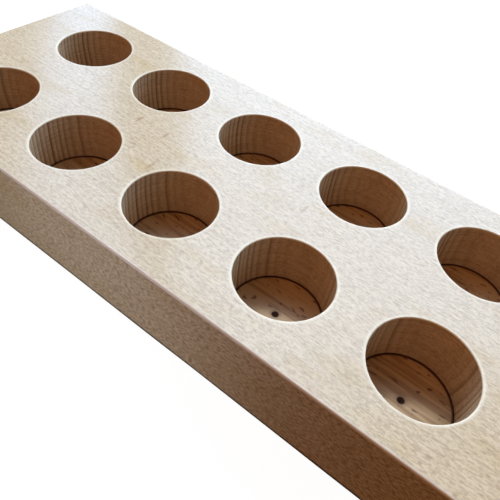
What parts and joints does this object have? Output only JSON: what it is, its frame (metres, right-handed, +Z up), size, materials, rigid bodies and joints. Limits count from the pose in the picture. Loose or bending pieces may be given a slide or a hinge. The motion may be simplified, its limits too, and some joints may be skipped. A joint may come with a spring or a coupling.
{
  "type": "egg tray",
  "caption": "Thick rectangular wooden tray with two rows of round flat-bottomed pockets that each hold an egg on end, on low rubber feet.",
  "frame": {"origin": "centre of the footprint, on the surface that the tray stands on", "axes": "+X along the tray's length, +Y from the front stave to the back stave, +Z up out of the pockets"},
  "size_m": [0.381, 0.131, 0.041],
  "materials": {
    "beech": "sanded, lightly oiled beech with fine growth rings along the tray",
    "dowel_beech": "plain fluted beech",
    "foot_rubber": "matt black rubber",
    "screw_steel": "zinc-plated steel"
  },
  "bodies": {
    "root": {"front_stave": "beech", "back_stave": "beech", "dowel_left": "dowel_beech", "dowel_middle": "dowel_beech", "dowel_right": "dowel_beech", "foot_front_left": "foot_rubber", "foot_front_right": "foot_rubber", "foot_back_left": "foot_rubber", "foot_back_right": "foot_rubber", "screw_front_left": "screw_steel", "screw_front_right": "screw_steel", "screw_back_left": "screw_steel", "screw_back_right": "screw_steel"}
  },
  "joints": []
}
